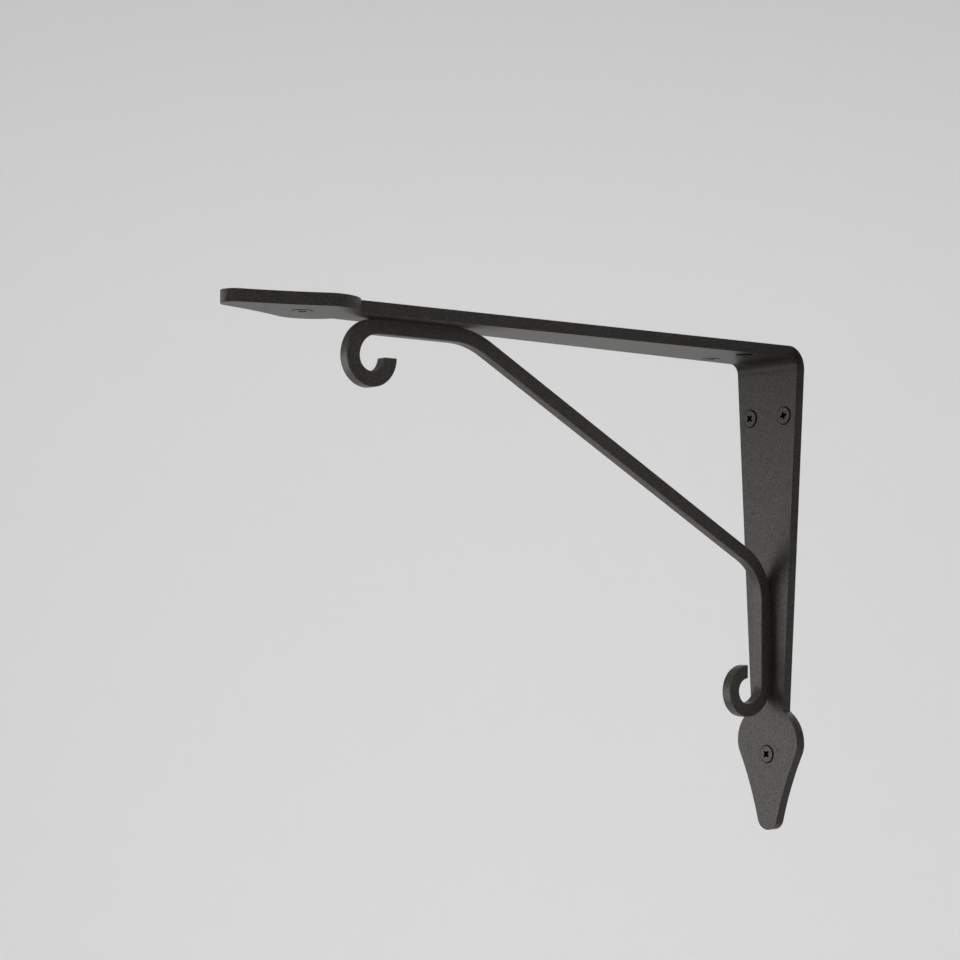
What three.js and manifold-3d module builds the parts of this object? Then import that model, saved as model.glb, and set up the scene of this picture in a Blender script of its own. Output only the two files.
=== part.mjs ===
// Scroll-braced shelf bracket: a bent steel strap with a leaf at each end, a square bar that braces
// it and curls into a scroll at each end, and the six countersunk screws that hold it up.
//
// Millimetres, +Z up. The wall side of the bracket is the plane Y = 0 and the arm runs out along -Y.
// X = 0 is the plane of symmetry. The origin is on the wall side, midway between the two upper screws.
import * as THREE from 'three';
import { mergeVertices } from 'three/addons/utils/BufferGeometryUtils.js';
import Module from 'manifold-3d';

const wasm = await Module();
wasm.setup();

// Driving dimensions of the strap
const armLength = 240;
const legLength = 180;
const strapThickness = 4;
const cornerWidth = 30;
const neckWidth = 16;
const bendInnerRadius = 4;

// Driving dimensions of the leaf at the end of the arm and of the leg
const leafWidth = 30;
const leafWidestFromTip = 33;
const leafHeadRadius = 13.5;
const leafShoulderRadius = 9.5;
const leafFlankRadius = 130;
const leafTipRadius = 4.8;
const neckFilletRadius = 1;

// Driving dimensions of the brace, measured along the middle of its bar. A corner is where the flat
// run and the slope would meet without their bend, and a scroll starts where its flat run ends.
const barDepth = 5;
const barWidth = 4;
const armCornerFromTip = 93.7;
const legCornerFromTip = 97.5;
const armScrollFromTip = 55.9;
const legScrollFromTip = 55.2;
const armBendRadius = 30;
const legBendRadius = 20;
const scrollEntryRadius = 9.7;
const scrollEyeRadius = 7.15;

// Driving dimensions of the screws and of their holes
const screwRowFromCorner = 25;
const screwRowInset = 6.5;
const leafScrewFromTip = 28.5;
const shankDiameter = 3.5;
const headDiameter = 6.2;
const wallHeadProud = 0.4;
const shelfHeadProud = 0.15;
const looseHeadProud = 0.6;
const screwClearance = 0.4;
const holeClearance = 0.7;
const driveSpan = 3.2;
const driveBlade = 1;
const driveDepth = 1.4;

// Steps of the round stretches
const arcStep = THREE.MathUtils.degToRad(7.5);
const screwSides = 24;

// Height of the shelf side of the arm above the origin, and the outer radius of the strap's bend
const shelfFaceZ = screwRowFromCorner;
const bendOuterRadius = bendInnerRadius + strapThickness;

const steel = new THREE.MeshStandardMaterial({ color: '#4a4946', roughness: 0.62, metalness: 0.25 });
const barSteel = new THREE.MeshStandardMaterial({ color: '#403f3c', roughness: 0.62, metalness: 0.25 });
const screwSteel = new THREE.MeshStandardMaterial({ color: '#3c3b39', roughness: 0.5, metalness: 0.5 });

/** Points along an arc from one angle to another, both ends included. */
function arcPoints(centre, radius, from, to) {
  const steps = Math.max(2, Math.ceil(Math.abs(to - from) / arcStep));
  return Array.from({ length: steps + 1 }, (_, i) => {
    const angle = from + ((to - from) * i) / steps;
    return new THREE.Vector2(
      centre.x + radius * Math.cos(angle),
      centre.y + radius * Math.sin(angle),
    );
  });
}

/** Angle at which a point is seen from a centre. */
function bearing(centre, point) {
  return Math.atan2(point.y - centre.y, point.x - centre.x);
}

/** Centre of a circle that touches two others from outside, on the right of the line from a to b. */
function outerTangentCentre(a, radiusA, b, radiusB, radius) {
  const apart = a.distanceTo(b);
  const toA = radius + radiusA;
  const toB = radius + radiusB;
  const along = (toA * toA - toB * toB + apart * apart) / (2 * apart);
  const aside = Math.sqrt(toA * toA - along * along);
  const unit = b.clone().sub(a).divideScalar(apart);
  return new THREE.Vector2(
    a.x + unit.x * along + unit.y * aside,
    a.y + unit.y * along - unit.x * aside,
  );
}

/** Centre of a small circle that touches a straight edge and, before it gets there, a round head. */
function neckFilletCentre(edgeStart, edgeEnd, head, headRadius, radius) {
  const unit = edgeEnd.clone().sub(edgeStart).normalize();
  const out = new THREE.Vector2(unit.y, -unit.x);
  const start = edgeStart.clone().addScaledVector(out, radius);
  const toStart = start.clone().sub(head);
  const reach = headRadius + radius;
  const half = toStart.dot(unit);
  const run = -half - Math.sqrt(half * half - toStart.lengthSq() + reach * reach);
  return start.addScaledVector(unit, run);
}

/**
 * Half of a blade's outline, seen flat: x is the half width and y the distance from the outer corner
 * of the strap. It narrows to a neck, then swells into the leaf and ends in the round tip.
 */
function bladeEdge(length) {
  const start = new THREE.Vector2(cornerWidth / 2, bendOuterRadius);
  const widest = length - leafWidestFromTip;
  const head = new THREE.Vector2(leafWidth / 2 - leafHeadRadius, widest);
  const shoulder = new THREE.Vector2(leafWidth / 2 - leafShoulderRadius, widest);
  const tip = new THREE.Vector2(0, length - leafTipRadius);
  const neckAside = neckWidth / 2 - head.x;
  const neckAt = widest - Math.sqrt(leafHeadRadius ** 2 - neckAside ** 2);
  const neck = new THREE.Vector2(neckWidth / 2, neckAt);
  const fillet = neckFilletCentre(start, neck, head, leafHeadRadius, neckFilletRadius);
  const edgeAngle = bearing(start, neck);
  const flank = outerTangentCentre(shoulder, leafShoulderRadius, tip, leafTipRadius, leafFlankRadius);
  const filletFrom = edgeAngle + Math.PI / 2;
  const filletTo = bearing(fillet, head) + (bearing(fillet, head) < 0 ? 2 * Math.PI : 0);
  return [
    start,
    ...arcPoints(fillet, neckFilletRadius, filletFrom, filletTo),
    ...arcPoints(head, leafHeadRadius, bearing(head, fillet), 0),
    ...arcPoints(shoulder, leafShoulderRadius, 0, bearing(shoulder, flank)).slice(1),
    ...flankPoints(flank, shoulder, tip),
    ...arcPoints(tip, leafTipRadius, bearing(tip, flank), Math.PI / 2).slice(1),
  ];
}

/** The long hollow flank of the leaf, in steps short enough to look swept. */
function flankPoints(flank, shoulder, tip) {
  const flankSteps = 6;
  const wrap = (angle) => (angle < 0 ? angle + 2 * Math.PI : angle);
  const from = wrap(bearing(flank, shoulder));
  const to = wrap(bearing(flank, tip));
  return Array.from({ length: flankSteps }, (_, i) => {
    const angle = from + ((to - from) * (i + 1)) / flankSteps;
    return new THREE.Vector2(
      flank.x + leafFlankRadius * Math.cos(angle),
      flank.y + leafFlankRadius * Math.sin(angle),
    );
  });
}

/** One flat blade of the strap, drawn in XY and one thickness deep. */
function bladeGeometry(length) {
  const edge = bladeEdge(length);
  const mirrored = edge
    .slice(0, -1)
    .reverse()
    .map((point) => new THREE.Vector2(-point.x, point.y));
  return new THREE.ExtrudeGeometry(new THREE.Shape([...edge, ...mirrored]), {
    depth: strapThickness,
    bevelEnabled: false,
  });
}

/** An outline drawn in the YZ plane, extruded along X and centred on X = 0. */
function sideProfile(outline, width) {
  const geometry = new THREE.ExtrudeGeometry(new THREE.Shape(outline), { depth: width, bevelEnabled: false });
  geometry.translate(0, 0, -width / 2);
  const yAxis = new THREE.Vector3(0, 1, 0);
  const zAxis = new THREE.Vector3(0, 0, 1);
  const xAxis = new THREE.Vector3(1, 0, 0);
  return geometry.applyMatrix4(new THREE.Matrix4().makeBasis(yAxis, zAxis, xAxis));
}

/** The quarter turn between the arm and the leg. */
function bendGeometry() {
  const centre = new THREE.Vector2(-bendOuterRadius, shelfFaceZ - bendOuterRadius);
  const outline = [
    ...arcPoints(centre, bendOuterRadius, 0, Math.PI / 2),
    ...arcPoints(centre, bendInnerRadius, Math.PI / 2, 0),
  ];
  return sideProfile(outline, cornerWidth);
}

/** A closed mesh as a solid that can be joined and cut. */
function solidOf(geometry) {
  const bare = geometry.clone();
  bare.deleteAttribute('normal');
  bare.deleteAttribute('uv');
  const merged = mergeVertices(bare, 1e-4);
  return new wasm.Manifold(
    new wasm.Mesh({
      numProp: 3,
      vertProperties: new Float32Array(merged.attributes.position.array),
      triVerts: new Uint32Array(merged.index.array),
    }),
  );
}

/** The solid's surface as a three.js geometry. */
function geometryOf(solid) {
  const mesh = solid.getMesh();
  const geometry = new THREE.BufferGeometry();
  const points = new Float32Array(mesh.numVert * 3);
  for (let i = 0; i < mesh.numVert; i += 1) {
    for (let axis = 0; axis < 3; axis += 1) {
      points[i * 3 + axis] = mesh.vertProperties[i * mesh.numProp + axis];
    }
  }
  geometry.setAttribute('position', new THREE.BufferAttribute(points, 3));
  geometry.setIndex(new THREE.BufferAttribute(new Uint32Array(mesh.triVerts), 1));
  geometry.computeVertexNormals();
  return geometry;
}

// Where each screw sits: a point on the face that its head shows on, and the way that face looks.
// drive is the angle at which the cross recess came to rest, and proud how far the head stands out.
const outOfWall = new THREE.Vector3(0, -1, 0);
const belowShelf = new THREE.Vector3(0, 0, -1);

/** The place of a screw through the leg, a distance below the shelf face. */
function legSeat(name, x, drop, drive) {
  const at = new THREE.Vector3(x, -strapThickness, shelfFaceZ - drop);
  return { name, at, facing: outOfWall, drive, proud: wallHeadProud };
}

/** The place of a screw through the arm, a distance out from the wall side. */
function armSeat(name, x, reach, drive, proud) {
  const at = new THREE.Vector3(x, -reach, shelfFaceZ - strapThickness);
  return { name, at, facing: belowShelf, drive, proud };
}

const rowHalf = cornerWidth / 2 - screwRowInset;
const screwSeats = [
  legSeat('wall_screw_upper_left', -rowHalf, screwRowFromCorner, 45),
  legSeat('wall_screw_upper_right', rowHalf, screwRowFromCorner, 18),
  legSeat('wall_screw_lower', 0, legLength - leafScrewFromTip, 45),
  armSeat('shelf_screw_rear_left', -rowHalf, screwRowFromCorner, 5, shelfHeadProud),
  armSeat('shelf_screw_rear_right', rowHalf, screwRowFromCorner, 62, looseHeadProud),
  armSeat('shelf_screw_front', 0, armLength - leafScrewFromTip, 78, shelfHeadProud),
];

/** Turns and moves a shape that was made about +Z so that it sits in a seat. */
function intoSeat(geometry, seat) {
  const turn = new THREE.Quaternion().setFromUnitVectors(new THREE.Vector3(0, 0, 1), seat.facing);
  return geometry.applyQuaternion(turn).translate(seat.at.x, seat.at.y, seat.at.z);
}

/** A shape turned about +Z from half of its section, radius first and height second. */
function turned(section) {
  const points = section.map(([radius, height]) => new THREE.Vector2(radius, height));
  return new THREE.LatheGeometry(points, screwSides).rotateX(Math.PI / 2);
}

/** The countersunk hole that a screw passes through, as a cutter that starts above the face. */
function holeCutter(seat) {
  const mouth = headDiameter / 2 + screwClearance;
  const bore = (shankDiameter + holeClearance) / 2;
  const above = 1;
  const below = strapThickness + 1;
  const cutter = turned([
    [0, -below],
    [bore, -below],
    [bore, bore - mouth],
    [mouth + above, above],
    [0, above],
  ]);
  return solidOf(intoSeat(cutter, seat));
}

/** The bent strap: arm, bend and leg as one bar, with its six countersunk holes. */
function angleStrap() {
  const arm = bladeGeometry(armLength).rotateX(Math.PI).translate(0, 0, shelfFaceZ);
  const leg = bladeGeometry(legLength).rotateX(-Math.PI / 2).translate(0, -strapThickness, shelfFaceZ);
  const blank = solidOf(arm).add(solidOf(bendGeometry())).add(solidOf(leg));
  return screwSeats.reduce((solid, seat) => solid.subtract(holeCutter(seat)), blank);
}

/**
 * Walks along the middle of the bar and keeps both of its sides. Every bend turns clockwise, as seen
 * with +Y to the right and +Z up.
 */
function barOutline(start, heading, moves) {
  const left = [];
  const right = [];
  const place = start.clone();
  let angle = heading;
  const mark = () => {
    const side = new THREE.Vector2(-Math.sin(angle), Math.cos(angle)).multiplyScalar(barDepth / 2);
    left.push(place.clone().add(side));
    right.push(place.clone().sub(side));
  };
  mark();
  for (const { run = 0, radius = 0, turn = 0 } of moves) {
    place.x += run * Math.cos(angle);
    place.y += run * Math.sin(angle);
    if (run > 0) mark();
    const centre = new THREE.Vector2(place.x + radius * Math.sin(angle), place.y - radius * Math.cos(angle));
    const steps = Math.ceil(turn / arcStep);
    const before = angle;
    for (let i = 1; i <= steps; i += 1) {
      angle = before - (turn * i) / steps;
      place.set(centre.x - radius * Math.sin(angle), centre.y + radius * Math.cos(angle));
      mark();
    }
  }
  return [...right, ...left.reverse()];
}

/** The brace: scroll, flat run under the arm, slope, flat run down the leg, scroll. */
function scrollBrace() {
  const inset = strapThickness + barDepth / 2;
  const armCorner = armLength - armCornerFromTip;
  const legCorner = legLength - legCornerFromTip;
  const armScroll = armLength - armScrollFromTip;
  const legScroll = legLength - legScrollFromTip;
  const slope = Math.atan2(legCorner - inset, armCorner - inset);
  const slopeLength = Math.hypot(legCorner - inset, armCorner - inset);
  const legTurn = Math.PI / 2 - slope;
  const armTangent = armBendRadius * Math.tan(slope / 2);
  const legTangent = legBendRadius * Math.tan(legTurn / 2);
  const scrollEnd = new THREE.Vector2(
    2 * scrollEyeRadius - scrollEntryRadius - armScroll,
    shelfFaceZ - inset - scrollEntryRadius,
  );
  const outline = barOutline(scrollEnd, -Math.PI / 2, [
    { radius: scrollEyeRadius, turn: Math.PI },
    { radius: scrollEntryRadius, turn: Math.PI / 2 },
    { run: armScroll - armCorner - armTangent },
    { radius: armBendRadius, turn: slope },
    { run: slopeLength - armTangent - legTangent },
    { radius: legBendRadius, turn: legTurn },
    { run: legScroll - legCorner - legTangent },
    { radius: scrollEntryRadius, turn: Math.PI / 2 },
    { radius: scrollEyeRadius, turn: Math.PI },
  ]);
  return solidOf(sideProfile(outline, barWidth));
}

/** The cross recess in a screw's head, narrower at its foot. */
function driveCutter(seat) {
  const over = 0.5;
  const footShare = 0.55;
  const blades = [0, 90].map((quarter) => {
    const blade = new THREE.BoxGeometry(driveSpan, driveBlade, driveDepth + over);
    const places = blade.attributes.position;
    for (let i = 0; i < places.count; i += 1) {
      if (places.getZ(i) < 0) places.setXY(i, places.getX(i) * footShare, places.getY(i) * footShare);
    }
    blade.translate(0, 0, seat.proud + over - (driveDepth + over) / 2);
    return blade.rotateZ(THREE.MathUtils.degToRad(seat.drive + quarter));
  });
  return solidOf(intoSeat(blades[0], seat)).add(solidOf(intoSeat(blades[1], seat)));
}

/** One countersunk screw, cut off flush with the back of the strap. */
function screw(seat) {
  const headRadius = headDiameter / 2;
  const shankRadius = shankDiameter / 2;
  const body = turned([
    [0, -strapThickness],
    [shankRadius, -strapThickness],
    [shankRadius, shankRadius - headRadius],
    [headRadius, 0],
    [headRadius, seat.proud],
    [0, seat.proud],
  ]);
  return solidOf(intoSeat(body, seat)).subtract(driveCutter(seat));
}

/** A named mesh of the finished solid. */
function piece(name, solid, material) {
  const mesh = new THREE.Mesh(geometryOf(solid), material);
  mesh.name = name;
  return mesh;
}

const bracket = new THREE.Group();
bracket.add(piece('angle_strap', angleStrap(), steel));
bracket.add(piece('scroll_brace', scrollBrace(), barSteel));
for (const seat of screwSeats) bracket.add(piece(seat.name, screw(seat), screwSteel));

export default bracket;
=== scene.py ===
"""Scroll-braced shelf bracket in powder-coated steel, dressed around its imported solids.

Lengths are in millimetres unless a class says otherwise. A piece turns to metres when its object is
made. The arm runs forward along -Y, the leg hangs down along -Z, and X = 0 is the plane of symmetry.
"""

import logging
import math
from collections.abc import Iterable
from dataclasses import dataclass, field
from enum import Enum
from typing import ClassVar

import bmesh
import bpy
from mathutils import Matrix, Vector


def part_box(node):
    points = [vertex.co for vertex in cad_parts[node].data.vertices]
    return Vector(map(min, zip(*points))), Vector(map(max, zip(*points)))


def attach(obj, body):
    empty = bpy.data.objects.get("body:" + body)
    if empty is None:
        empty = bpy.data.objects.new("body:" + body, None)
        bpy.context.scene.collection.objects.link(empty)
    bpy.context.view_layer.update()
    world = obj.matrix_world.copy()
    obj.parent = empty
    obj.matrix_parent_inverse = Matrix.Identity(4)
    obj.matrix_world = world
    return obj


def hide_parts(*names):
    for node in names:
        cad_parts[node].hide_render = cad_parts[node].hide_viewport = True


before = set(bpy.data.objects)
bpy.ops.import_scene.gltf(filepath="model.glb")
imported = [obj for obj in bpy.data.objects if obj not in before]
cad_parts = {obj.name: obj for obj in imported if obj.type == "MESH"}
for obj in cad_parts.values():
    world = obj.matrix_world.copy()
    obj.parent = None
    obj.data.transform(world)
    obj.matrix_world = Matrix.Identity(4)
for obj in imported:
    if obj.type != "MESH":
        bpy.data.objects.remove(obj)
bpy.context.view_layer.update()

logging.basicConfig(level=logging.INFO, format="%(name)s: %(message)s")
log = logging.getLogger("bracket")

MM = 0.001
BODY = "root"
MERGE_DISTANCE = 0.01
SHARP_ANGLE = math.radians(40)
EASED_SEGMENTS = 4
ALONG_X = Vector((1, 0, 0))
ALONG_Y = Vector((0, 1, 0))
ALONG_Z = Vector((0, 0, 1))


def linear(hex_colour: str) -> tuple[float, float, float, float]:
    """Turn an sRGB hex colour into linear light.

    Args:
        hex_colour: A hash sign and six hex digits.

    Returns:
        Red, green and blue in linear light, and a full alpha.
    """
    channels = [int(hex_colour[i : i + 2], 16) / 255 for i in (1, 3, 5)]
    red, green, blue = (c / 12.92 if c <= 0.04045 else ((c + 0.055) / 1.055) ** 2.4 for c in channels)
    return red, green, blue, 1.0


def per_metre(size: float) -> float:
    """Give the scale that draws a pattern at a real size on coordinates in metres."""
    return 1 / (size * MM)


def add_node(
    tree: bpy.types.NodeTree,
    kind: str,
    settings: dict | None = None,
    links: dict | None = None,
) -> bpy.types.Node:
    """Add a node with its settings and links.

    Args:
        tree: The node tree that takes the node.
        kind: The node's type name.
        settings: Property names, or input sockets by name or number, and their values.
        links: Input sockets by name or number, and the output sockets that feed them.

    Returns:
        The new node.
    """
    node = tree.nodes.new(kind)
    for key, value in (settings or {}).items():
        if isinstance(key, str) and hasattr(node, key):
            setattr(node, key, value)
        else:
            node.inputs[key].default_value = value
    for key, source in (links or {}).items():
        tree.links.new(source, node.inputs[key])
    return node


@dataclass(frozen=True)
class PowderCoat:
    """Fine-textured polyester powder coat, baked on steel.

    The melted grains leave a matt, finely pebbled skin, so flat faces show a soft speckle and no sharp
    reflection. Along the eased edges the colour is lighter, partly for a coat drawn thinner there and
    partly as a painted highlight. The grains of such a coat are about 0.1 mm wide, and are drawn about
    three times coarser here so that they show. The corner is the strap's inner one: towards it, and in
    sunk places, colour and reflection are darkened as painted shade.
    """

    name: str
    corner: Vector
    valley: str
    crest: str
    # Lighter colour on eased edges: partly a thinner coat, partly a painted highlight.
    edge: str
    # Near black that the painted shade mixes the colour towards.
    painted_shade_colour: str = "#0c0b0a"
    tint: str = "#fffbf7"
    grain: float = 0.3
    grain_detail: float = 1.5
    pebble: float = 0.48
    pebble_smoothness: float = 0.7
    fleck: float = 0.28
    sparkle: float = 0.2
    relief: float = 0.07
    relief_strength: float = 0.8
    cloud: float = 26.0
    cloud_detail: float = 2.0
    cloud_depth: float = 0.3
    roughness_low: float = 0.38
    roughness_high: float = 0.48
    gloss: float = 0.5
    refraction: float = 1.5
    # Painted shade that fades out over these reaches from the inner corner: a wide fade and a close one
    # in the fold.
    corner_reach: float = 90.0
    corner_painted_shade: float = 0.36
    fold_reach: float = 6.0
    fold_painted_shade: float = 0.45

    def body_colour(
        self,
        tree: bpy.types.NodeTree,
        place: bpy.types.NodeSocket,
        speckle: bpy.types.NodeSocket,
        grains: bpy.types.NodeSocket,
    ) -> bpy.types.NodeSocket:
        """Mix the coat's colour from its flecks and soft clouds, lighter on eased edges: partly a
        thinner coat, partly a painted highlight.

        Args:
            tree: The material's nodes.
            place: Object coordinates.
            speckle: A random value for each fleck.
            grains: Height of the melted grains.

        Returns:
            The colour.
        """
        clouds = add_node(
            tree,
            "ShaderNodeTexNoise",
            {"Scale": per_metre(self.cloud), "Detail": self.cloud_detail},
            {"Vector": place},
        ).outputs["Fac"]
        shade = add_node(
            tree,
            "ShaderNodeMath",
            {"operation": "MULTIPLY_ADD", 1: self.cloud_depth, 2: -self.cloud_depth / 2},
            {0: clouds},
        ).outputs[0]
        blend = add_node(
            tree,
            "ShaderNodeMath",
            {"operation": "ADD", "use_clamp": True},
            {0: speckle, 1: shade},
        ).outputs[0]
        body = add_node(
            tree,
            "ShaderNodeMix",
            {"data_type": "RGBA", 6: linear(self.valley), 7: linear(self.crest)},
            {0: blend},
        ).outputs[2]
        eased = add_node(tree, "ShaderNodeAttribute", {"attribute_name": "eased"}).outputs["Fac"]
        # Eased edges are painted lighter, partly for a thinner coat and partly as a painted highlight.
        thin_coat_and_highlight = add_node(
            tree,
            "ShaderNodeMath",
            {"operation": "MULTIPLY"},
            {0: eased, 1: grains},
        ).outputs[0]
        return add_node(
            tree,
            "ShaderNodeMix",
            {"data_type": "RGBA", 7: linear(self.edge)},
            {0: thin_coat_and_highlight, 6: body},
        ).outputs[2]

    def painted_shade_amount(
        self,
        tree: bpy.types.NodeTree,
        place: bpy.types.NodeSocket,
    ) -> bpy.types.NodeSocket:
        """Find how much painted shade the coat gets: fully in sunk places, and a little towards the
        inner corner.

        Args:
            tree: The material's nodes.
            place: Object coordinates.

        Returns:
            The amount of painted shade, from 0 to 1.
        """
        in_profile = add_node(
            tree,
            "ShaderNodeVectorMath",
            {"operation": "MULTIPLY", 1: (0, 1, 1)},
            {0: place},
        ).outputs[0]
        from_corner = add_node(
            tree,
            "ShaderNodeVectorMath",
            {"operation": "DISTANCE", 1: self.corner * MM},
            {0: in_profile},
        ).outputs["Value"]
        # Painted shade: a wide, light fade from the inner corner and a close, deeper one in the fold.
        wide, close = (
            add_node(
                tree,
                "ShaderNodeMapRange",
                {"From Max": reach * MM, "To Min": dulling, "To Max": 0.0},
                {"Value": from_corner},
            ).outputs["Result"]
            for reach, dulling in (
                (self.corner_reach, self.corner_painted_shade),
                (self.fold_reach, self.fold_painted_shade),
            )
        )
        shaded = add_node(
            tree,
            "ShaderNodeMath",
            {"operation": "ADD"},
            {0: wide, 1: close},
        ).outputs[0]
        # Sunk places get the full painted shade.
        sunk = add_node(tree, "ShaderNodeAttribute", {"attribute_name": "sunk"}).outputs["Fac"]
        return add_node(
            tree,
            "ShaderNodeMath",
            {"operation": "MAXIMUM"},
            {0: sunk, 1: shaded},
        ).outputs[0]

    def pebbled_normal(
        self,
        tree: bpy.types.NodeTree,
        place: bpy.types.NodeSocket,
        grains: bpy.types.NodeSocket,
    ) -> bpy.types.NodeSocket:
        """Raise the melted grains as a low relief.

        Args:
            tree: The material's nodes.
            place: Object coordinates.
            grains: Height of the melted grains.

        Returns:
            The bumped normal.
        """
        pebbles = add_node(
            tree,
            "ShaderNodeTexVoronoi",
            {
                "feature": "SMOOTH_F1",
                "Scale": per_metre(self.pebble),
                "Smoothness": self.pebble_smoothness,
            },
            {"Vector": place},
        ).outputs["Distance"]
        height = add_node(
            tree,
            "ShaderNodeMath",
            {"operation": "SUBTRACT"},
            {0: grains, 1: pebbles},
        ).outputs[0]
        return add_node(
            tree,
            "ShaderNodeBump",
            {"Strength": self.relief_strength, "Distance": self.relief * MM},
            {"Height": height},
        ).outputs["Normal"]

    def material(self) -> bpy.types.Material:
        """Build the finish on object coordinates.

        Returns:
            The node material.
        """
        material = bpy.data.materials.new(self.name)
        material.use_nodes = True
        tree = material.node_tree
        tree.nodes.clear()
        place = add_node(tree, "ShaderNodeTexCoord").outputs["Object"]
        grains = add_node(
            tree,
            "ShaderNodeTexNoise",
            {"Scale": per_metre(self.grain), "Detail": self.grain_detail},
            {"Vector": place},
        ).outputs["Fac"]
        flecks = add_node(
            tree,
            "ShaderNodeTexVoronoi",
            {"Scale": per_metre(self.fleck)},
            {"Vector": place},
        ).outputs["Color"]
        speckle = add_node(tree, "ShaderNodeSeparateColor", links={0: flecks}).outputs["Red"]
        painted_shade = self.painted_shade_amount(tree, place)
        # Painted shade: the colour is mixed towards near black by the shade amount.
        colour = add_node(
            tree,
            "ShaderNodeMix",
            {"data_type": "RGBA", 7: linear(self.painted_shade_colour)},
            {0: painted_shade, 6: self.body_colour(tree, place, speckle, grains)},
        ).outputs[2]
        glint = add_node(
            tree,
            "ShaderNodeMapRange",
            {"To Min": self.gloss - self.sparkle, "To Max": self.gloss + self.sparkle},
            {"Value": speckle},
        ).outputs["Result"]
        # The painted shade also takes the reflection away.
        shine = add_node(
            tree,
            "ShaderNodeMix",
            {"data_type": "FLOAT", 3: 0.0},
            {0: painted_shade, 2: glint},
        ).outputs[0]
        roughness = add_node(
            tree,
            "ShaderNodeMapRange",
            {"To Min": self.roughness_low, "To Max": self.roughness_high},
            {"Value": grains},
        ).outputs["Result"]
        shader = add_node(
            tree,
            "ShaderNodeBsdfPrincipled",
            {"Metallic": 0.0, "IOR": self.refraction, "Specular Tint": linear(self.tint)},
            {
                "Base Color": colour,
                "Roughness": roughness,
                "Normal": self.pebbled_normal(tree, place, grains),
                "Specular IOR Level": shine,
            },
        )
        add_node(tree, "ShaderNodeOutputMaterial", links={"Surface": shader.outputs[0]})
        return material


@dataclass(frozen=True)
class StagePaint:
    """Matt emulsion on a studio's floor and walls, which only spreads the light."""

    name: str = "matt_studio_paint"
    colour: str = "#ececec"
    roughness: float = 0.9
    gloss: float = 0.1

    def material(self) -> bpy.types.Material:
        """Build the paint.

        Returns:
            The node material.
        """
        material = bpy.data.materials.new(self.name)
        material.use_nodes = True
        tree = material.node_tree
        tree.nodes.clear()
        shader = add_node(
            tree,
            "ShaderNodeBsdfPrincipled",
            {
                "Base Color": linear(self.colour),
                "Roughness": self.roughness,
                "Specular IOR Level": self.gloss,
            },
        )
        add_node(tree, "ShaderNodeOutputMaterial", links={"Surface": shader.outputs[0]})
        return material


@dataclass
class Pen:
    """Draws an outline in a plane.

    Its mark is the last vertex, and each move leaves edges behind it.
    """

    mesh: bmesh.types.BMesh
    mark: bmesh.types.BMVert
    axis: Vector
    chord: float = 1.6
    swing: float = math.radians(6)

    @classmethod
    def set_down(cls, mesh: bmesh.types.BMesh, place: Vector, axis: Vector) -> "Pen":
        """Start a line at a place, in the plane that looks along an axis."""
        return cls(mesh, mesh.verts.new(place), axis)

    def line_to(self, place: Vector) -> None:
        """Draw a straight edge to a place."""
        self.mark = bmesh.ops.extrude_vert_indiv(self.mesh, verts=[self.mark])["verts"][0]
        self.mark.co = place

    def arc_towards(self, centre: Vector, goal: Vector) -> None:
        """Sweep about a centre until the mark lies in the direction of a goal.

        Args:
            centre: The middle of the arc.
            goal: Any point in the direction, seen from the centre, in which the arc ends.
        """
        start = self.mark.co - centre
        end = goal - centre
        angle = math.atan2(self.axis.dot(start.cross(end)), start.dot(end))
        steps = math.ceil(max(abs(angle) / self.swing, abs(angle) * start.length / self.chord))
        swept = bmesh.ops.spin(
            self.mesh,
            geom=[self.mark],
            cent=centre,
            axis=self.axis,
            angle=angle,
            steps=steps,
        )
        self.mark = next(item for item in swept["geom_last"] if isinstance(item, bmesh.types.BMVert))


def once_each(items: Iterable) -> list:
    """Drop repeats and keep the order, so that every run makes the same mesh."""
    return list(dict.fromkeys(items))


def edges_of(verts: list[bmesh.types.BMVert]) -> list[bmesh.types.BMEdge]:
    """List the edges that run between the given vertices."""
    inside = set(verts)
    return once_each(e for v in verts for e in v.link_edges if e.other_vert(v) in inside)


def ends_of(edges: list[bmesh.types.BMEdge]) -> list[bmesh.types.BMVert]:
    """List the vertices at the ends of the given edges."""
    return once_each(v for e in edges for v in e.verts)


def new_verts(result: dict) -> list[bmesh.types.BMVert]:
    """List the vertices in an operator's result."""
    return [item for item in result["geom"] if isinstance(item, bmesh.types.BMVert)]


def coated_mesh() -> bmesh.types.BMesh:
    """Start a mesh that can tell the finish which of its vertices are eased and which are sunk.

    Returns:
        An empty mesh with both layers.
    """
    mesh = bmesh.new()
    for name in ("eased", "sunk"):
        mesh.verts.layers.float.new(name)
    return mesh


def mark_verts(mesh: bmesh.types.BMesh, name: str, verts: list[bmesh.types.BMVert]) -> None:
    """Set a named float on some vertices, for the finish to read.

    Args:
        mesh: The mesh, started with its layers.
        name: The layer's name.
        verts: The vertices to mark.
    """
    layer = mesh.verts.layers.float[name]
    for vert in verts:
        vert[layer] = 1.0


def append_mesh(target: bmesh.types.BMesh, source: bmesh.types.BMesh) -> None:
    """Add one mesh to another and free it.

    Args:
        target: The mesh that grows.
        source: The mesh that is added, which can't be used afterwards.
    """
    carrier = bpy.data.meshes.new("carrier")
    source.to_mesh(carrier)
    source.free()
    target.from_mesh(carrier)
    bpy.data.meshes.remove(carrier)


def sharp_edges(mesh: bmesh.types.BMesh) -> list[bmesh.types.BMEdge]:
    """List the edges where the surface turns sharply."""
    return [edge for edge in mesh.edges if edge.calc_face_angle(0) > SHARP_ANGLE]


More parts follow.
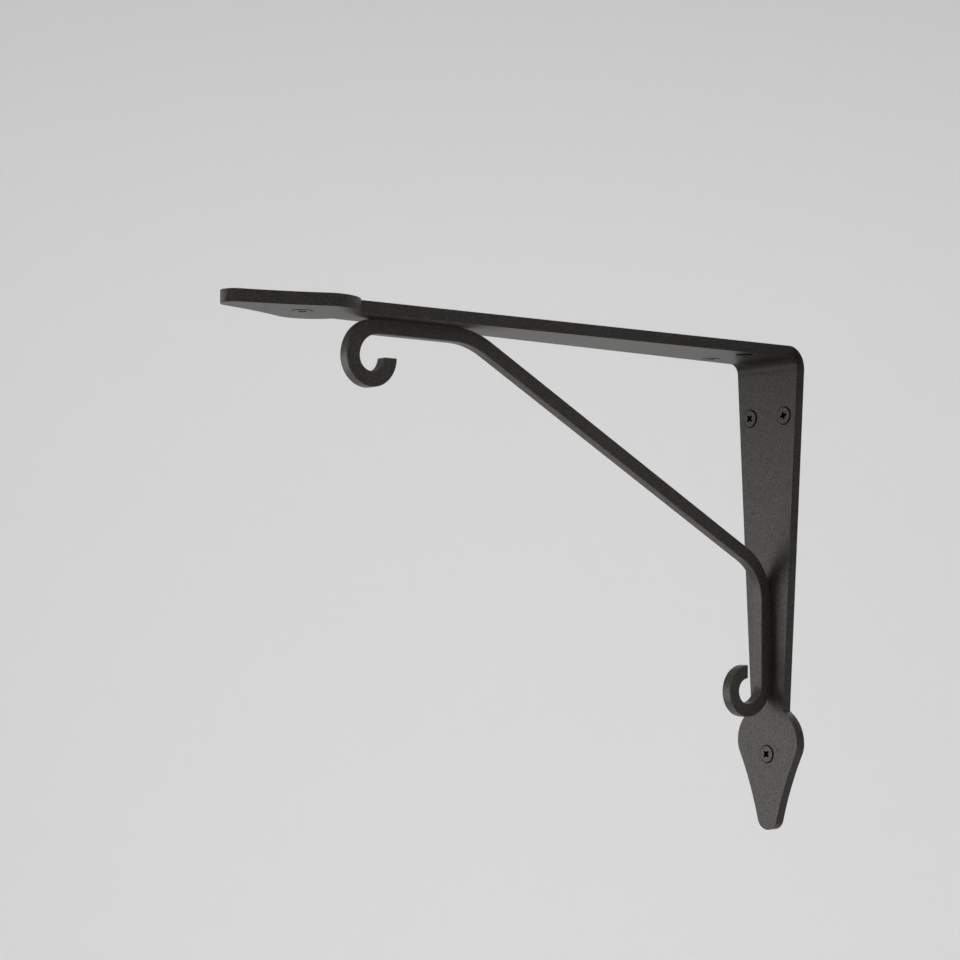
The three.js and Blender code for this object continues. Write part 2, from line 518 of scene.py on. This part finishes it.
def ease_edges(
    mesh: bmesh.types.BMesh,
    edges: list[bmesh.types.BMEdge],
    radius: float,
) -> None:
    """Round edges over and note where, so that the coat is lighter there: partly a thinner coat, partly
    a painted highlight.

    Args:
        mesh: The mesh that the edges are in.
        edges: The edges to round.
        radius: How far from the edge the rounding starts.
    """
    result = bmesh.ops.bevel(
        mesh,
        geom=edges,
        offset=radius,
        offset_type="OFFSET",
        affect="EDGES",
        segments=EASED_SEGMENTS,
        profile=0.5,
        material=-1,
        loop_slide=False,
        clamp_overlap=True,
    )
    rounded = set(result["faces"])
    inside = [v for v in result["verts"] if all(face in rounded for face in v.link_faces)]
    mark_verts(mesh, "eased", inside)


def make_piece(
    mesh: bmesh.types.BMesh,
    name: str,
    node: str,
    material: bpy.types.Material,
) -> bpy.types.Object:
    """Turn a finished mesh into a piece that stands for a solid.

    Args:
        mesh: The closed mesh in millimetres, which is freed.
        name: The new piece's name.
        node: The solid that the piece replaces.
        material: The finish.

    Returns:
        The piece, riding on the bracket's body.
    """
    bmesh.ops.recalc_face_normals(mesh, faces=mesh.faces)
    bmesh.ops.scale(mesh, vec=(MM, MM, MM), verts=mesh.verts)
    for face in mesh.faces:
        face.smooth = True
    data = bpy.data.meshes.new(name)
    mesh.to_mesh(data)
    mesh.free()
    data.materials.append(material)
    piece = bpy.data.objects.new(name, data)
    bpy.context.scene.collection.objects.link(piece)
    weighted = piece.modifiers.new("Level faces", "WEIGHTED_NORMAL")
    weighted.keep_sharp = True
    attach(piece, BODY)
    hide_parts(node)
    log.info("%s stands for %s with %d faces", name, node, len(data.polygons))
    return piece


def outer_tangent_centre(
    a: Vector,
    radius_a: float,
    b: Vector,
    radius_b: float,
    radius: float,
) -> Vector:
    """Find the circle that touches two others from outside, on the right of the line from a to b.

    Args:
        a: Centre of the first circle.
        radius_a: Its radius.
        b: Centre of the second circle.
        radius_b: Its radius.
        radius: Radius of the circle that touches both.

    Returns:
        The centre of the touching circle.
    """
    apart = (b - a).length
    to_a = radius + radius_a
    to_b = radius + radius_b
    along = (to_a**2 - to_b**2 + apart**2) / (2 * apart)
    aside = math.sqrt(to_a**2 - along**2)
    unit = (b - a) / apart
    return a + unit * along + Vector((unit.y, -unit.x, 0)) * aside


def neck_fillet_centre(
    start: Vector,
    neck: Vector,
    head: Vector,
    head_radius: float,
    radius: float,
) -> Vector:
    """Find the small circle that touches a straight edge and, further on, a round head.

    Args:
        start: First point of the straight edge.
        neck: Point in which the edge would meet the head.
        head: Centre of the head.
        head_radius: Radius of the head.
        radius: Radius of the small circle.

    Returns:
        The centre of the small circle, on the right of the edge.
    """
    unit = (neck - start).normalized()
    first = start + Vector((unit.y, -unit.x, 0)) * radius
    to_first = first - head
    half = to_first.dot(unit)
    run = -half - math.sqrt(half**2 - to_first.length_squared + (head_radius + radius) ** 2)
    return first + unit * run


@dataclass(frozen=True)
class Leaf:
    """Sizes of the leaf in which the arm and the leg end."""

    width: float = 30.0
    widest_from_tip: float = 33.0
    head_radius: float = 13.5
    shoulder_radius: float = 9.5
    flank_radius: float = 130.0
    tip_radius: float = 4.8
    neck_width: float = 16.0
    neck_fillet: float = 1.0


class Facing(Enum):
    """The way that a screw's head looks, and with it the blade that the screw goes through."""

    FORWARD = "forward, through the leg"
    DOWN = "down, through the arm"


@dataclass(frozen=True)
class Seat:
    """Where a screw sits: its node, its blade, its place on the flat blade, its turn and its height."""

    node: str
    facing: Facing
    aside: float
    along: float
    drive_degrees: float
    proud: float


@dataclass(frozen=True)
class Hole:
    """A countersunk hole for a small wood screw."""

    bore_radius: float = 2.1
    mouth_radius: float = 3.5
    sides: int = 56


@dataclass
class AngleStrap:
    """The bent strap, punched flat as two blades, folded at the corner and eased along its edges."""

    arm_length: float
    leg_length: float
    arm_top: float
    seats: list[Seat]
    thickness: float = 4.0
    corner_width: float = 30.0
    bend_inner_radius: float = 4.0
    bend_steps: int = 14
    edge_radius: float = 0.3
    leaf: Leaf = Leaf()
    hole: Hole = Hole()

    @property
    def bend_outer_radius(self) -> float:
        """Radius of the bend on its outer side."""
        return self.bend_inner_radius + self.thickness

    @property
    def inner_corner(self) -> Vector:
        """Where the inner faces of the arm and the leg would meet without their bend."""
        return Vector((0, -self.thickness, self.arm_top - self.thickness))

    def half_outline(self, mesh: bmesh.types.BMesh, length: float) -> None:
        """Draw the right half of a blade's outline, from the bend to the leaf's tip.

        Args:
            mesh: The mesh to draw in. X is across the blade and Y the distance from the outer corner.
            length: Distance of the tip from the outer corner.
        """
        leaf = self.leaf
        start = Vector((self.corner_width / 2, self.bend_outer_radius, 0))
        widest = length - leaf.widest_from_tip
        head = Vector((leaf.width / 2 - leaf.head_radius, widest, 0))
        shoulder = Vector((leaf.width / 2 - leaf.shoulder_radius, widest, 0))
        tip = Vector((0, length - leaf.tip_radius, 0))
        neck_aside = leaf.neck_width / 2 - head.x
        neck_at = widest - math.sqrt(leaf.head_radius**2 - neck_aside**2)
        neck = Vector((leaf.neck_width / 2, neck_at, 0))
        fillet = neck_fillet_centre(start, neck, head, leaf.head_radius, leaf.neck_fillet)
        flank = outer_tangent_centre(
            shoulder,
            leaf.shoulder_radius,
            tip,
            leaf.tip_radius,
            leaf.flank_radius,
        )
        edge = (neck - start).normalized()
        pen = Pen.set_down(mesh, start, ALONG_Z)
        pen.line_to(fillet - Vector((edge.y, -edge.x, 0)) * leaf.neck_fillet)
        pen.arc_towards(fillet, head)
        pen.arc_towards(head, head + ALONG_X)
        pen.arc_towards(shoulder, flank)
        pen.arc_towards(flank, tip)
        pen.arc_towards(tip, tip + ALONG_Y)

    def punch(
        self,
        mesh: bmesh.types.BMesh,
        seat: Seat,
    ) -> tuple[list[bmesh.types.BMEdge], list[bmesh.types.BMEdge]]:
        """Make the wall of one countersunk hole, from the front face to the back.

        Args:
            mesh: The blade's mesh.
            seat: The place of the hole.

        Returns:
            The edges of its mouth on the front face and of its bore on the back face.
        """
        centre = Vector((seat.aside, seat.along, 0))
        ring = bmesh.ops.create_circle(
            mesh,
            segments=self.hole.sides,
            radius=self.hole.mouth_radius,
            matrix=Matrix.Translation(centre),
        )["verts"]
        mouth = edges_of(ring)
        sink = self.hole.mouth_radius - self.hole.bore_radius
        share = self.hole.bore_radius / self.hole.mouth_radius
        cone = new_verts(bmesh.ops.extrude_edge_only(mesh, edges=mouth))
        bmesh.ops.scale(mesh, vec=(share, share, 1), space=Matrix.Translation(-centre), verts=cone)
        bmesh.ops.translate(mesh, vec=(0, 0, -sink), verts=cone)
        throat = edges_of(cone)
        bore = new_verts(bmesh.ops.extrude_edge_only(mesh, edges=throat))
        bmesh.ops.translate(mesh, vec=(0, 0, sink - self.thickness), verts=bore)
        back = edges_of(bore)
        for edge in mouth + throat + back:
            edge.seam = True
        # The coat darkens the countersink's cone as painted shade.
        mark_verts(mesh, "sunk", cone)
        return mouth, back

    def blade(self, facing: Facing, length: float) -> bmesh.types.BMesh:
        """Make one blade flat, with its front face at Z = 0 and open where it meets the bend.

        Args:
            facing: The side that the front face looks to.
            length: Distance of the tip from the outer corner.

        Returns:
            The blade's mesh.
        """
        mesh = coated_mesh()
        self.half_outline(mesh, length)
        bmesh.ops.mirror(
            mesh,
            geom=mesh.verts[:] + mesh.edges[:],
            matrix=Matrix.Identity(4),
            merge_dist=MERGE_DISTANCE,
            axis="X",
        )
        rim = mesh.edges[:]
        walls = new_verts(bmesh.ops.extrude_edge_only(mesh, edges=rim))
        back_rim = edges_of(walls)
        bmesh.ops.translate(mesh, vec=(0, 0, -self.thickness), verts=walls)
        for outline in (rim, back_rim):
            corners = [
                v
                for v in ends_of(outline)
                if abs(v.co.y - self.bend_outer_radius) < MERGE_DISTANCE
            ]
            outline.append(mesh.edges.new(corners))
        for seat in self.seats:
            if seat.facing is facing:
                mouth, back = self.punch(mesh, seat)
                rim += mouth
                back_rim += back
        for outline in (rim, back_rim):
            bmesh.ops.triangle_fill(mesh, use_beauty=True, use_dissolve=False, edges=outline)
        return mesh

    def fold(self, mesh: bmesh.types.BMesh) -> None:
        """Sweep the leg's open end through the quarter turn to the arm's.

        Args:
            mesh: Both blades in their places, each open at the bend.
        """
        level = self.arm_top - self.bend_outer_radius
        seam = [
            e
            for e in mesh.edges
            if e.is_boundary and all(abs(v.co.z - level) < MERGE_DISTANCE for v in e.verts)
        ]
        bmesh.ops.spin(
            mesh,
            geom=seam + ends_of(seam),
            cent=(0, -self.bend_outer_radius, level),
            axis=ALONG_X,
            angle=math.pi / 2,
            steps=self.bend_steps,
        )
        bmesh.ops.remove_doubles(mesh, verts=mesh.verts, dist=MERGE_DISTANCE)

    def build(self, material: bpy.types.Material) -> bpy.types.Object:
        """Make the strap's piece.

        Args:
            material: The finish.

        Returns:
            The piece.
        """
        arm = self.blade(Facing.DOWN, self.arm_length)
        bmesh.ops.transform(arm, matrix=arm_place(self), verts=arm.verts)
        leg = self.blade(Facing.FORWARD, self.leg_length)
        bmesh.ops.transform(leg, matrix=leg_place(self), verts=leg.verts)
        append_mesh(arm, leg)
        self.fold(arm)
        bmesh.ops.recalc_face_normals(arm, faces=arm.faces)
        sharp = sharp_edges(arm)
        outline = [e for e in sharp if not e.seam]
        mouths = [e for e in sharp if e.seam]
        ease_edges(arm, outline, self.edge_radius)
        for edge in mouths:
            edge.smooth = False
            edge.seam = False
        return make_piece(arm, "strap_coated", "angle_strap", material)


def arm_place(strap: AngleStrap) -> Matrix:
    """Place a flat blade as the arm, its front face down."""
    turn = Matrix.Rotation(math.pi, 4, "X")
    return Matrix.Translation((0, 0, strap.arm_top - strap.thickness)) @ turn


def leg_place(strap: AngleStrap) -> Matrix:
    """Place a flat blade as the leg, its front face forward."""
    turn = Matrix.Rotation(math.pi / 2, 4, "X") @ Matrix.Rotation(math.pi, 4, "Z")
    return Matrix.Translation((0, -strap.thickness, strap.arm_top)) @ turn


@dataclass
class ScrollBrace:
    """The flat-sided bar that slants from the arm to the leg and curls into a scroll at each end.

    Corners and scrolls are places along the middle of the bar. A corner is where the flat run and the
    slope would meet without their bend.
    """

    strap: AngleStrap
    depth: float = 5.0
    width: float = 4.0
    arm_corner_from_tip: float = 93.7
    leg_corner_from_tip: float = 97.5
    arm_scroll_from_tip: float = 55.9
    leg_scroll_from_tip: float = 55.2
    arm_bend_radius: float = 30.0
    leg_bend_radius: float = 20.0
    scroll_entry_radius: float = 9.7
    scroll_eye_radius: float = 7.15
    edge_radius: float = 0.3
    swing: float = math.radians(4)
    scroll_turn: float = math.pi
    place: Vector = field(default_factory=Vector)
    heading: float = -math.pi / 2
    end: list = field(default_factory=list)

    def ahead(self) -> Vector:
        """Give the direction in which the bar runs on."""
        return Vector((0, math.cos(self.heading), math.sin(self.heading)))

    def start(self, mesh: bmesh.types.BMesh, place: Vector) -> None:
        """Draw the bar's first end, cut square.

        Args:
            mesh: The bar's mesh.
            place: The middle of the end.
        """
        bmesh.ops.create_grid(mesh, x_segments=1, y_segments=1, size=0.5)
        bmesh.ops.scale(mesh, vec=(self.width, self.depth, 1), verts=mesh.verts)
        bmesh.ops.translate(mesh, vec=place, verts=mesh.verts)
        self.place = place
        self.end = mesh.faces[:] + mesh.edges[:] + mesh.verts[:]

    def run(self, mesh: bmesh.types.BMesh, length: float) -> None:
        """Run the bar straight on.

        Args:
            mesh: The bar's mesh.
            length: How far it runs.
        """
        drawn = bmesh.ops.extrude_face_region(mesh, geom=self.end)
        step = self.ahead() * length
        bmesh.ops.translate(mesh, vec=step, verts=new_verts(drawn))
        self.place += step
        self.end = drawn["geom"]

    def bend(self, mesh: bmesh.types.BMesh, radius: float, angle: float) -> None:
        """Bend the bar clockwise, seen with +Y to the right and +Z up.

        Args:
            mesh: The bar's mesh.
            radius: Radius along the middle of the bar.
            angle: How far it turns.
        """
        aside = Vector((0, math.sin(self.heading), -math.cos(self.heading)))
        centre = self.place + aside * radius
        self.end = bmesh.ops.spin(
            mesh,
            geom=self.end,
            cent=centre,
            axis=ALONG_X,
            angle=-angle,
            steps=math.ceil(angle / self.swing),
        )["geom_last"]
        self.heading -= angle
        aside_after = Vector((0, math.sin(self.heading), -math.cos(self.heading)))
        self.place = centre - aside_after * radius

    def build(self, material: bpy.types.Material) -> bpy.types.Object:
        """Make the brace's piece.

        Args:
            material: The finish.

        Returns:
            The piece.
        """
        strap = self.strap
        inset = strap.thickness + self.depth / 2
        quarter = math.pi / 2
        arm_corner = strap.arm_length - self.arm_corner_from_tip
        leg_corner = strap.leg_length - self.leg_corner_from_tip
        arm_scroll = strap.arm_length - self.arm_scroll_from_tip
        leg_scroll = strap.leg_length - self.leg_scroll_from_tip
        slope = math.atan2(leg_corner - inset, arm_corner - inset)
        slope_length = math.hypot(leg_corner - inset, arm_corner - inset)
        leg_turn = quarter - slope
        arm_tangent = self.arm_bend_radius * math.tan(slope / 2)
        leg_tangent = self.leg_bend_radius * math.tan(leg_turn / 2)
        out = 2 * self.scroll_eye_radius - self.scroll_entry_radius - arm_scroll
        up = strap.arm_top - inset - self.scroll_entry_radius
        mesh = coated_mesh()
        self.start(mesh, Vector((0, out, up)))
        self.bend(mesh, self.scroll_eye_radius, self.scroll_turn)
        self.bend(mesh, self.scroll_entry_radius, quarter)
        self.run(mesh, arm_scroll - arm_corner - arm_tangent)
        self.bend(mesh, self.arm_bend_radius, slope)
        self.run(mesh, slope_length - arm_tangent - leg_tangent)
        self.bend(mesh, self.leg_bend_radius, leg_turn)
        self.run(mesh, leg_scroll - leg_corner - leg_tangent)
        self.bend(mesh, self.scroll_entry_radius, quarter)
        self.bend(mesh, self.scroll_eye_radius, self.scroll_turn)
        bmesh.ops.recalc_face_normals(mesh, faces=mesh.faces)
        ease_edges(mesh, sharp_edges(mesh), self.edge_radius)
        return make_piece(mesh, "brace_coated", "scroll_brace", material)


@dataclass
class CountersunkScrew:
    """A countersunk wood screw with a cross recess, cut off flush with the back of the strap."""

    strap: AngleStrap
    shank_radius: float = 1.75
    head_radius: float = 3.1
    rim_radius: float = 0.12
    drive_span: float = 3.2
    drive_blade: float = 1.0
    drive_depth: float = 1.4
    drive_lip: float = 0.06
    drive_foot_share: float = 0.55
    drive_swing: float = math.radians(30)
    smooth_angle: float = math.radians(30)
    sides: int = 48
    wings: int = 4

    def turned_body(self, mesh: bmesh.types.BMesh, top: float) -> list[bmesh.types.BMVert]:
        """Turn the shank and the head about Z and leave the head's top open.

        Args:
            mesh: The screw's mesh, with the strap's front face at Z = 0.
            top: Height of the head's top.

        Returns:
            The vertices of the head's rim.
        """
        pen = Pen.set_down(mesh, Vector((0, 0, -self.strap.thickness)), ALONG_Y)
        pen.line_to(Vector((self.shank_radius, 0, -self.strap.thickness)))
        pen.line_to(Vector((self.shank_radius, 0, self.shank_radius - self.head_radius)))
        pen.line_to(Vector((self.head_radius, 0, 0)))
        pen.line_to(Vector((self.head_radius, 0, top - self.rim_radius)))
        pen.line_to(Vector((self.head_radius - self.rim_radius, 0, top)))
        bmesh.ops.spin(
            mesh,
            geom=mesh.verts[:] + mesh.edges[:],
            cent=(0, 0, 0),
            axis=ALONG_Z,
            angle=2 * math.pi,
            steps=self.sides,
            use_merge=True,
        )
        bmesh.ops.remove_doubles(mesh, verts=mesh.verts, dist=MERGE_DISTANCE)
        # The head's part below the strap's face, and the shank, are darkened as painted shade.
        mark_verts(mesh, "sunk", [v for v in mesh.verts if v.co.z < MERGE_DISTANCE])
        return [v for v in mesh.verts if v.co.z > top - MERGE_DISTANCE]

    def recess(self, mesh: bmesh.types.BMesh, top: float) -> list[bmesh.types.BMEdge]:
        """Press the cross recess, its four wings round at their ends.

        Args:
            mesh: The screw's mesh.
            top: Height of the head's top.

        Returns:
            The edges of the cross on the head's top.
        """
        half = self.drive_blade / 2
        others = self.wings - 1
        wing_end = Vector((self.drive_span / 2 - half, 0, top))
        body = set(mesh.verts)
        pen = Pen.set_down(mesh, Vector((half, half, top)), ALONG_Z)
        pen.swing = self.drive_swing
        pen.line_to(wing_end + ALONG_Y * half)
        pen.arc_towards(wing_end, wing_end + ALONG_X)
        pen.arc_towards(wing_end, wing_end - ALONG_Y)
        pen.line_to(Vector((half, -half, top)))
        wing = [v for v in mesh.verts if v not in body]
        bmesh.ops.spin(
            mesh,
            geom=wing + edges_of(wing),
            cent=(0, 0, 0),
            axis=ALONG_Z,
            angle=2 * math.pi * others / self.wings,
            steps=others,
            use_duplicate=True,
        )
        cross = [v for v in mesh.verts if v not in body]
        bmesh.ops.remove_doubles(mesh, verts=cross, dist=MERGE_DISTANCE)
        rim = edges_of([v for v in mesh.verts if v not in body])
        lip = new_verts(bmesh.ops.extrude_edge_only(mesh, edges=rim))
        bmesh.ops.translate(mesh, vec=(0, 0, -self.drive_lip), verts=lip)
        foot = new_verts(bmesh.ops.extrude_edge_only(mesh, edges=edges_of(lip)))
        bmesh.ops.scale(mesh, vec=(self.drive_foot_share, self.drive_foot_share, 1), verts=foot)
        bmesh.ops.translate(mesh, vec=(0, 0, self.drive_lip - self.drive_depth), verts=foot)
        bmesh.ops.triangle_fill(mesh, use_beauty=True, use_dissolve=False, edges=edges_of(foot))
        # The cross recess is darkened as painted shade.
        mark_verts(mesh, "sunk", lip + foot)
        return rim

    def build(self, seat: Seat, material: bpy.types.Material) -> bpy.types.Object:
        """Make one screw's piece in its seat.

        Args:
            seat: Where the screw sits.
            material: The finish.

        Returns:
            The piece.
        """
        mesh = coated_mesh()
        rim = edges_of(self.turned_body(mesh, seat.proud))
        cross = self.recess(mesh, seat.proud)
        bmesh.ops.triangle_fill(mesh, use_beauty=True, use_dissolve=False, edges=rim + cross)
        bmesh.ops.recalc_face_normals(mesh, faces=mesh.faces)
        for edge in mesh.edges:
            edge.smooth = edge.calc_face_angle(0) < self.smooth_angle
        on_arm = seat.facing is Facing.DOWN
        place = arm_place(self.strap) if on_arm else leg_place(self.strap)
        turn = Matrix.Rotation(math.radians(seat.drive_degrees), 4, "Z")
        spot = Matrix.Translation((seat.aside, seat.along, 0))
        bmesh.ops.transform(mesh, matrix=place @ spot @ turn, verts=mesh.verts)
        return make_piece(mesh, seat.node + "_head_and_shank", seat.node, material)


@dataclass(frozen=True)
class Softbox:
    """One square soft light. Its places and its side are in metres, and its power is in watts."""

    name: str
    place: Vector
    aim: Vector
    side: float
    power: float

    def hang(self) -> bpy.types.Object:
        """Hang the light where only its shine shows.

        Returns:
            The light's object.
        """
        data = bpy.data.lights.new(self.name, "AREA")
        data.size = self.side
        data.energy = self.power
        light = bpy.data.objects.new(self.name, data)
        turn = (self.aim - self.place).to_track_quat("-Z", "Y").to_matrix().to_4x4()
        light.matrix_world = Matrix.Translation(self.place) @ turn
        light.visible_camera = False
        bpy.context.scene.collection.objects.link(light)
        return light


@dataclass
class Studio:
    """Pale round studio, soft lights and the camera. Places and sizes here are in metres."""

    bracket_middle: ClassVar[Vector] = Vector((0, -0.1, -0.05))
    floor_level: float = -1.5
    floor_radius: float = 0.9
    cove_radius: float = 2.0
    wall_height: float = 4.2
    sides: int = 96
    sky_light: float = 0.35
    sky_colour: str = "#f7f8f9"
    bracket_lights: tuple[Softbox, ...] = (
        Softbox("key_left", Vector((-1.4, -1.5, -0.45)), bracket_middle, side=1.5, power=17.0),
        Softbox("back_top", Vector((-0.8, 1.3, 1.2)), bracket_middle, side=1.0, power=8.0),
    )
    room_lights: tuple[Softbox, ...] = (
        Softbox(
            "wall_wash",
            Vector((-0.3, 0.25, 0.3)),
            Vector((-2.2, 1.65, -0.2)),
            side=1.0,
            power=27.0,
        ),
        Softbox(
            "front_wash",
            Vector((0.3, -0.25, 0.3)),
            Vector((2.2, -1.65, -0.2)),
            side=1.0,
            power=7.0,
        ),
        Softbox("floor_wash", Vector((0, 0, -0.7)), Vector((0, 0, -1.5)), side=1.6, power=4.5),
    )
    camera_place: Vector = field(default_factory=lambda: Vector((0.4925186, -0.5337604, -0.0647473)))
    camera_azimuth: float = 0.8985
    camera_lens: float = 71.4156
    camera_shift_y: float = 0.11416
    camera_reach: float = 20.0
    sensor: float = 36.0

    def backdrop(self, material: bpy.types.Material) -> bpy.types.Object:
        """Make the floor and the wall that it sweeps up into, all round.

        Args:
            material: The paint.

        Returns:
            The floor and wall in one piece.
        """
        mesh = bmesh.new()
        pen = Pen.set_down(mesh, Vector((0, 0, self.floor_level)), -ALONG_Y)
        pen.line_to(Vector((self.floor_radius, 0, self.floor_level)))
        centre = pen.mark.co + ALONG_Z * self.cove_radius
        pen.arc_towards(centre, centre + ALONG_X)
        pen.line_to(pen.mark.co + ALONG_Z * self.wall_height)
        bmesh.ops.spin(
            mesh,
            geom=mesh.verts[:] + mesh.edges[:],
            cent=(0, 0, 0),
            axis=ALONG_Z,
            angle=2 * math.pi,
            steps=self.sides,
            use_merge=True,
        )
        bmesh.ops.remove_doubles(mesh, verts=mesh.verts, dist=MERGE_DISTANCE * MM)
        for face in mesh.faces:
            face.smooth = True
        data = bpy.data.meshes.new("studio_cove")
        mesh.to_mesh(data)
        mesh.free()
        data.materials.append(material)
        cove = bpy.data.objects.new("studio_cove", data)
        bpy.context.scene.collection.objects.link(cove)
        return cove

    def lights(self, cove: bpy.types.Object) -> None:
        """Light the room evenly, and the bracket softly from the left in front and from behind above.

        Args:
            cove: The room's floor and wall, which the two lights on the bracket leave alone.
        """
        world = bpy.data.worlds.new("pale_room")
        world.use_nodes = True
        background = world.node_tree.nodes["Background"]
        background.inputs["Color"].default_value = linear(self.sky_colour)
        background.inputs["Strength"].default_value = self.sky_light
        bpy.context.scene.world = world
        spared = bpy.data.collections.new("spared_by_bracket_lights")
        spared.objects.link(cove)
        spared.collection_objects[0].light_linking.link_state = "EXCLUDE"
        for softbox in self.bracket_lights:
            softbox.hang().light_linking.receiver_collection = spared
        for softbox in self.room_lights:
            softbox.hang()

    def camera(self) -> None:
        """Set the camera up level, at the photograph's angle."""
        data = bpy.data.cameras.new("camera")
        data.sensor_width = self.sensor
        data.lens = self.camera_lens
        data.shift_y = self.camera_shift_y
        data.clip_end = self.camera_reach
        camera = bpy.data.objects.new("camera", data)
        camera.location = self.camera_place
        camera.rotation_euler = (math.pi / 2, 0, self.camera_azimuth)
        bpy.context.scene.collection.objects.link(camera)
        bpy.context.scene.camera = camera

    def build(self) -> None:
        """Build the whole studio."""
        self.lights(self.backdrop(StagePaint().material()))
        self.camera()
        bpy.context.scene.view_settings.view_transform = "Standard"
        log.info("the studio stands round the bracket")


def seats_on(arm_length: float, leg_length: float) -> list[Seat]:
    """List the six screws' seats: a row near the corner and one in the leaf, on each blade.

    Args:
        arm_length: Distance of the arm's tip from the outer corner.
        leg_length: Distance of the leg's tip from the outer corner.

    Returns:
        The seats, those of the leg first.
    """
    row_half = 8.5
    row_along = 25.0
    leaf_screw_from_tip = 28.5
    leg_proud = 0.4
    arm_proud = 0.15
    loose_proud = 0.6
    leg = Facing.FORWARD
    arm = Facing.DOWN
    return [
        Seat("wall_screw_upper_left", leg, row_half, row_along, 45, leg_proud),
        Seat("wall_screw_upper_right", leg, -row_half, row_along, 18, leg_proud),
        Seat("wall_screw_lower", leg, 0, leg_length - leaf_screw_from_tip, 45, leg_proud),
        Seat("shelf_screw_rear_left", arm, -row_half, row_along, 5, arm_proud),
        Seat("shelf_screw_rear_right", arm, row_half, row_along, 62, loose_proud),
        Seat("shelf_screw_front", arm, 0, arm_length - leaf_screw_from_tip, 78, arm_proud),
    ]


def main() -> None:
    """Build the bracket and the studio around it."""
    low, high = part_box("angle_strap")
    arm_length = -low.y / MM
    arm_top = high.z / MM
    leg_length = arm_top - low.z / MM
    strap = AngleStrap(arm_length, leg_length, arm_top, seats_on(arm_length, leg_length))
    coat = PowderCoat(
        "fine_textured_powder_coat",
        strap.inner_corner,
        valley="#2a2723",
        crest="#413e38",
        edge="#6a665f",
    ).material()
    # The bar gets the strap's coat painted lighter, standing in for the extra light that it catches.
    bar_coat_painted_lighter = PowderCoat(
        "bar_powder_coat_painted_lighter",
        strap.inner_corner,
        valley="#35322d",
        crest="#4a4640",
        edge="#6b6761",
    ).material()
    paint = PowderCoat(
        "screw_head_paint",
        strap.inner_corner,
        valley="#2a2824",
        crest="#3d3b36",
        edge="#54514b",
        grain=0.4,
        pebble=0.64,
        relief=0.02,
    ).material()
    strap.build(coat)
    ScrollBrace(strap).build(bar_coat_painted_lighter)
    screw = CountersunkScrew(strap)
    for seat in strap.seats:
        screw.build(seat, paint)
    Studio().build()


if __name__ == "__main__":
    main()
